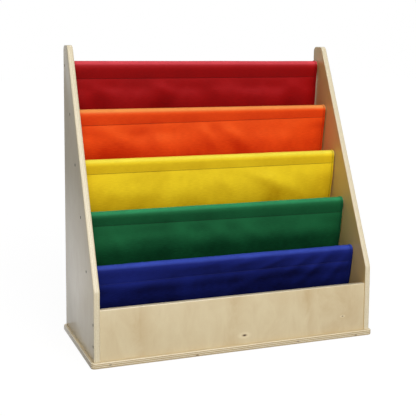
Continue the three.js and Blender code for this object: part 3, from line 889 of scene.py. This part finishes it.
def thread_material(name, colour):
    """Sewing thread: twisted polyester, for all slings but the blue one much darker than the cloth,
    partly the thread's own colour and partly painted shade of the seam's pinch.
    """
    material, tree, surface = new_surface(name)
    place = shade(tree, "TexCoord", {})["Object"]
    twist = shade(tree, "TexNoise", {"Vector": place, "Scale": TWIST_SCALE, "Detail": 1.0})[0]
    darker = tuple(c * TWIST_DARKER for c in colour)
    twisted = blend_colours(tree, ramp(tree, twist, 0.35, 0.65), linear(colour), linear(darker))
    tree.links.new(twisted, surface.inputs["Base Color"])
    surface.inputs["Roughness"].default_value = 0.6
    surface.inputs["Specular IOR Level"].default_value = 0.2
    return material


# Each sling's colour ahead; its under colour, which painted shade turns it to where it faces down
# and its random unevenness turns it to a little; its upper colour, the painted highlight where it
# faces up; and its thread's, for most slings much darker than the cloth, partly painted shade of
# the seam's pinch. Its glow is its sheen and the two tilts between which the colour ahead turns to
# the upper one. Drops are how far its seam lies below the front rod at its left and right end, and
# fullness how far its sleeve stands out there; hollow is how far its pocket falls back. Each fold,
# and each crease that runs on over the seam, has its place across and below the front rod, half
# length, half width, lean and height.
SLINGS = (
    {"word": "red", "under": (120, 4, 6), "ahead": (169, 7, 9), "upper": (240, 84, 94),
     "thread": (20, 1, 2), "glow": (0.45, -0.10, 0.64), "drops": (0.0425, 0.0410),
     "fullness": (0.0022, 0.0018), "hollow": 0.0, "looseness": 0.0005,
     "folds": ((-0.346, 0.076, 0.044, 0.020, 0.45, 0.0012),
               (-0.130, 0.076, 0.044, 0.020, 0.50, 0.0014),
               (0.045, 0.078, 0.044, 0.020, 0.50, 0.0010),
               (0.330, 0.070, 0.035, 0.020, 0.25, 0.0014),
               (0.160, 0.098, 0.070, 0.022, 0.30, 0.0014),
               (0.435, 0.115, 0.045, 0.075, 0.0, -0.0060),
               (-0.336, 0.160, 0.034, 0.052, 0.0, -0.0056),
               (-0.125, 0.160, 0.042, 0.052, 0.30, -0.0090),
               (0.045, 0.160, 0.042, 0.052, 0.0, -0.0040),
               (0.335, 0.160, 0.036, 0.052, 0.0, -0.0066),
               (0.0, 0.066, 9.0, 0.026, 0.0, -0.0010),
               (-0.430, 0.205, 0.050, 0.060, 0.0, -0.0030)),
     "creases": ()},
    {"word": "orange", "under": (196, 36, 4), "ahead": (254, 88, 20), "upper": (255, 168, 88),
     "thread": (80, 14, 2), "glow": (0.45, -0.08, 0.72), "drops": (0.0366, 0.0275),
     "fullness": (0.0016, 0.0008), "hollow": 0.003, "looseness": 0.0005,
     "folds": ((-0.302, 0.076, 0.090, 0.022, 0.46, 0.0018),
               (-0.340, 0.058, 0.045, 0.034, 0.40, 0.0014),
               (-0.181, 0.075, 0.060, 0.022, 0.85, 0.0015),
               (0.000, 0.078, 0.060, 0.016, 0.85, 0.0016),
               (0.084, 0.074, 0.080, 0.022, 0.60, 0.0024),
               (0.425, 0.135, 0.090, 0.080, 0.0, -0.0100),
               (0.115, 0.165, 0.050, 0.056, 0.30, -0.0068),
               (-0.010, 0.165, 0.046, 0.056, 0.30, -0.0042),
               (0.0, 0.066, 9.0, 0.030, 0.0, -0.0012),
               (-0.320, 0.165, 0.080, 0.060, 0.25, -0.0096)),
     "creases": ()},
    {"word": "yellow", "under": (196, 150, 9), "ahead": (254, 221, 38), "upper": (255, 246, 84),
     "thread": (40, 30, 5), "glow": (0.50, 0.0, 0.8), "drops": (0.0302, 0.0282),
     "fullness": (0.0010, 0.0010), "hollow": 0.004, "looseness": 0.0005,
     "folds": ((0.200, 0.078, 0.090, 0.025, 0.42, 0.0040),
               (0.036, 0.078, 0.050, 0.020, 0.75, 0.0011),
               (0.215, 0.165, 0.045, 0.056, 0.30, -0.0060),
               (-0.330, 0.170, 0.120, 0.060, 0.0, -0.0020),
               (-0.250, 0.100, 0.120, 0.024, 0.10, 0.0012),
               (0.415, 0.145, 0.100, 0.080, 0.0, -0.0100)),
     "creases": ()},
    {"word": "green", "under": (6, 50, 26), "ahead": (28, 105, 61), "upper": (54, 158, 104),
     "thread": (3, 18, 10), "glow": (0.60, 0.0, 0.8), "drops": (0.0282, 0.0357),
     "fullness": (0.0012, 0.0012), "hollow": 0.005, "looseness": 0.0008,
     "folds": ((-0.350, 0.074, 0.050, 0.016, 1.10, 0.0012),
               (-0.236, 0.072, 0.090, 0.018, 0.02, 0.0010),
               (-0.149, 0.068, 0.060, 0.022, 1.25, 0.0010),
               (-0.004, 0.080, 0.060, 0.020, 0.60, 0.0014),
               (0.092, 0.074, 0.075, 0.022, 0.52, 0.0014),
               (0.425, 0.115, 0.080, 0.075, 0.0, -0.0060),
               (0.0, 0.060, 9.0, 0.026, 0.0, -0.0012),
               (0.0, 0.165, 9.0, 0.060, 0.0, -0.0052),
               (-0.200, 0.160, 0.090, 0.050, 0.0, -0.0040),
               (-0.010, 0.165, 0.050, 0.050, 0.0, -0.0040),
               (0.240, 0.165, 0.160, 0.050, 0.0, -0.0050)),
     "creases": ()},
    {"word": "blue", "under": (4, 6, 42), "ahead": (25, 38, 124), "upper": (62, 84, 192),
     "thread": (38, 48, 128), "glow": (0.70, 0.0, 0.8), "drops": (0.0415, 0.0365),
     "fullness": (0.0012, 0.0022), "hollow": 0.004, "looseness": 0.0010,
     "folds": ((-0.200, 0.090, 0.120, 0.024, 0.10, 0.0010),
               (0.060, 0.080, 0.070, 0.018, -0.40, 0.0012),
               (0.150, 0.138, 0.550, 0.075, 0.0, -0.0155),
               (-0.330, 0.150, 0.160, 0.060, 0.0, -0.0040)),
     "creases": ((0.290, 0.050, 0.080, 0.0150, -0.72, 0.0022),
                 (0.372, 0.058, 0.070, 0.0140, -0.86, 0.0021),
                 (0.228, 0.034, 0.045, 0.0130, -0.55, 0.0015),
                 (0.418, 0.036, 0.035, 0.0100, -1.00, 0.0015),
                 (0.142, 0.020, 0.060, 0.0090, -0.34, 0.0010),
                 (0.060, 0.006, 0.060, 0.0100, -0.22, 0.0010),
                 (-0.080, 0.004, 0.080, 0.0120, -0.10, 0.0010),
                 (-0.330, 0.050, 0.150, 0.0220, 0.05, 0.0024),
                 (0.000, 0.040, 0.250, 0.0220, 0.0, 0.0008),
                 (0.300, 0.040, 0.120, 0.0180, 0.0, 0.0012))},
)
SLING_SEED = 10.0

hem_column = EDGE_COLUMNS.index(HEM_STITCHES_AT)
front_seam = HEM_STEPS + 2 * sleeve_steps
for number, sling in enumerate(SLINGS):
    word = sling["word"]
    cloth, places, last_row = make_sling(f"cloth_{word}", front_rods[number], rear_rods[number],
                                         number > 0, sling, SLING_SEED + number)
    finish_piece(cloth, woven_cloth(f"cloth_{word}", sling), f"cloth_{word}", f"sling_{word}")
    seams = []
    for row in (HEM_STEPS + 1, front_seam - 1, front_seam + BODY_STEPS + 1,
                last_row - 1 - HEM_STEPS):
        seams.append([(at + out * CLOTH_THICKNESS, out)
                      for at, out in (places[c, row] for c in range(2, last_column - 1))])
    for column in (hem_column, last_column - hem_column):
        seams.append([(at + out * 2 * CLOTH_THICKNESS, out)
                      for at, out in (places[column, r] for r in range(1, last_row))])
    stitches = sew(f"stitches_{word}", seams, thread_material(f"thread_{word}", sling["thread"]))
bpy.data.objects.remove(stitch_pattern)

# Floor and light: a plain pale floor, a broad soft light from high in front, another from straight
# above, and a white surround that is dimmer behind the camera, as in a studio.
FLOOR_SIZE = 40.0
FLOOR_BASE = 0.15
FLOOR_SEEN, FLOOR_BOUNCE = 0.91, 0.20
UNDER_SHELF_FROM, UNDER_SHELF_TO, FAR_AWAY = -0.6, 0.6, 3.4
MIRRORED_IN_FRONT, MIRRORED_BEHIND, MIRRORED_FAR = 0.22, 0.90, 0.31
SURROUND_TURN = 0.35
SURROUND_BEHIND_CAMERA, SURROUND_AHEAD = 0.12, 0.90
HORIZON_BAND, HORIZON_GLOW = 0.3, 0.8
AMBIENT = 0.10
LAMPS = (("key", (-0.04, -0.80, 0.36), 2.46, 56), ("top", (0.05, -0.10, 1.0), 0.75, 60))

bpy.ops.mesh.primitive_plane_add(size=FLOOR_SIZE)
floor = bpy.context.active_object
floor.name = "floor"
floor_material, tree, surface = new_surface("floor")
surface.inputs["Base Color"].default_value = (FLOOR_BASE, FLOOR_BASE, FLOOR_BASE, 1)
surface.inputs["Roughness"].default_value = 0.9
surface.inputs["Specular IOR Level"].default_value = 0.0
surface.inputs["Emission Color"].default_value = (1, 1, 1, 1)
rays = shade(tree, "LightPath", {})
backward = shade(tree, "SeparateXYZ", {0: shade(tree, "TexCoord", {})["Object"]})["Y"]
near = ramp(tree, backward, UNDER_SHELF_FROM, UNDER_SHELF_TO, MIRRORED_IN_FRONT, MIRRORED_BEHIND)
beyond = ramp(tree, backward, UNDER_SHELF_TO, FAR_AWAY, 1.0, MIRRORED_FAR)
mirrored = reckon(tree, near, beyond, "MULTIPLY")
seen = reckon(tree, rays["Is Camera Ray"], rays["Is Transmission Ray"], "MAXIMUM")
glow = reckon(tree, reckon(tree, seen, FLOOR_SEEN, "MULTIPLY"),
              reckon(tree, rays["Is Diffuse Ray"], FLOOR_BOUNCE, "MULTIPLY"))
glow = reckon(tree, glow, reckon(tree, rays["Is Glossy Ray"], mirrored, "MULTIPLY"))
tree.links.new(glow, surface.inputs["Emission Strength"])
floor.data.materials.append(floor_material)

world = bpy.data.worlds.new("surround")
scene.world = world
world.use_nodes = True
tree = world.node_tree
tree.nodes.clear()
rays = shade(tree, "LightPath", {})
direction = shade(tree, "SeparateXYZ", {0: shade(tree, "TexCoord", {})["Generated"]})
turned = ramp(tree, direction["Y"], -SURROUND_TURN, SURROUND_TURN,
              SURROUND_BEHIND_CAMERA, SURROUND_AHEAD)
raised = ramp(tree, direction["Z"], 0.0, HORIZON_BAND, HORIZON_GLOW, 1.0)
studio = reckon(tree, turned, raised, "MULTIPLY")
strength = blend_colours(tree, rays["Is Glossy Ray"], (AMBIENT, AMBIENT, AMBIENT, 1), studio)
seen = reckon(tree, rays["Is Camera Ray"], rays["Is Transmission Ray"], "MAXIMUM")
strength = blend_colours(tree, seen, strength, (1, 1, 1, 1))
background = shade(tree, "Background", {"Color": strength, "Strength": 1.0})[0]
shade(tree, "OutputWorld", {"Surface": background})

for name, comes_from, power, spread in LAMPS:
    data = bpy.data.lights.new(name, "SUN")
    data.energy = power
    data.angle = math.radians(spread)
    lamp = bpy.data.objects.new(name, data)
    scene.collection.objects.link(lamp)
    lamp.rotation_euler = Vector(comes_from).to_track_quat("Z", "Y").to_euler()

scene.view_settings.view_transform = "Standard"
